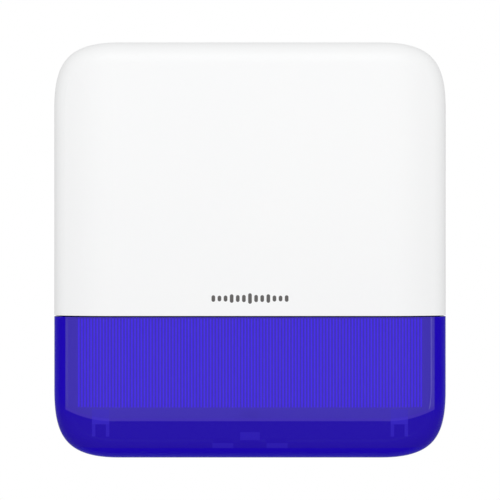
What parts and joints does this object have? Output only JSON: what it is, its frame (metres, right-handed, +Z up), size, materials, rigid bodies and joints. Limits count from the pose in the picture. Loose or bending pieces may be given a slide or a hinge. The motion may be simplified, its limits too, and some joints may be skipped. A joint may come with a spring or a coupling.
{
  "type": "outdoor alarm siren",
  "caption": "Wall-mounted outdoor alarm siren: soft square housing whose cover, with a translucent blue strobe lens, hinges open over the horn, batteries and board.",
  "frame": {"origin": "centre of the four wall-screw holes, on the rear face that lies on the wall", "axes": "+Z up along the wall, +X to the right seen from the front, front facing -Y"},
  "size_m": [0.218, 0.073, 0.23],
  "materials": {
    "white_housing": "fine satin",
    "blue_lens": "polished tinted polycarbonate",
    "base_plastic": "fine satin",
    "chassis_plastic": "fine satin",
    "black_plastic": "fine grain",
    "horn_plastic": "fine grain",
    "rubber": "matt",
    "foam_seal": "closed-cell foam",
    "circuit_board": "solder mask",
    "chip_black": "matt epoxy",
    "tinned_steel": "tinned",
    "steel": "zinc plated",
    "brass": "turned",
    "cell_sleeve": "shrink sleeve",
    "terminal_green": "moulded",
    "led_yellow": "phosphor",
    "button_white": "satin"
  },
  "bodies": {
    "base": {"rear_base": "base_plastic", "cable_grommet": "rubber", "base_seal": "foam_seal", "inner_chassis": "chassis_plastic", "chassis_screws": "steel", "siren_horn": "horn_plastic", "phase_plug": "horn_plastic", "piezo_driver": "black_plastic", "driver_gasket": "rubber", "horn_screws": "steel", "battery_holder": "black_plastic", "battery_cell_1": "cell_sleeve", "battery_cell_2": "cell_sleeve", "battery_cell_3": "cell_sleeve", "battery_cell_4": "cell_sleeve", "battery_contacts": "tinned_steel", "battery_springs": "tinned_steel", "main_pcb": "circuit_board", "pcb_screws": "steel", "pcb_components": "chip_black", "rf_shield": "tinned_steel", "antenna": "brass", "terminal_block": "terminal_green", "terminal_screws": "steel", "power_switch": "black_plastic", "enrol_switch": "black_plastic", "led_board": "circuit_board", "strobe_leds": "led_yellow", "wall_tamper_case": "black_plastic", "wall_tamper_spring": "steel", "cover_tamper_case": "black_plastic", "screw_insert": "brass"},
    "cover": {"front_cover": "white_housing", "strobe_lens": "blue_lens", "lens_screws": "steel"},
    "security_screw": {"cover_screw": "steel"},
    "slider": {"power_slider": "button_white"},
    "enrol": {"enrol_button": "button_white"},
    "wall_plunger": {"wall_tamper_plunger": "button_white"},
    "cover_plunger": {"cover_tamper_plunger": "button_white"}
  },
  "joints": [
    {"name": "cover_hinge", "type": "hinge", "parent": "base", "child": "cover", "pos_m": [0, -0.0082, 0.1103], "axis": [-1, 0, 0], "range_deg": [0, 60]},
    {"name": "screw_slide", "type": "slide", "parent": "base", "child": "security_screw", "axis": [0, 0, -1], "range_m": [0, 0.007]},
    {"name": "power_slide", "type": "slide", "parent": "base", "child": "slider", "axis": [0, 0, 1], "range_m": [0, 0.002]},
    {"name": "enrol_press", "type": "slide", "parent": "base", "child": "enrol", "axis": [0, 1, 0], "range_m": [0, 0.0004], "stiffness_N_per_m": 2000},
    {"name": "wall_tamper", "type": "slide", "parent": "base", "child": "wall_plunger", "axis": [0, 1, 0], "range_m": [0, 0.0025], "stiffness_N_per_m": 300, "deforming": ["wall_tamper_spring"]},
    {"name": "cover_tamper", "type": "slide", "parent": "base", "child": "cover_plunger", "axis": [0, -1, 0], "range_m": [0, 0.0025]}
  ],
  "couplings": [
    {"joint": "cover_tamper", "follows": "cover_hinge", "m_per_rad": 0.00238}
  ]
}
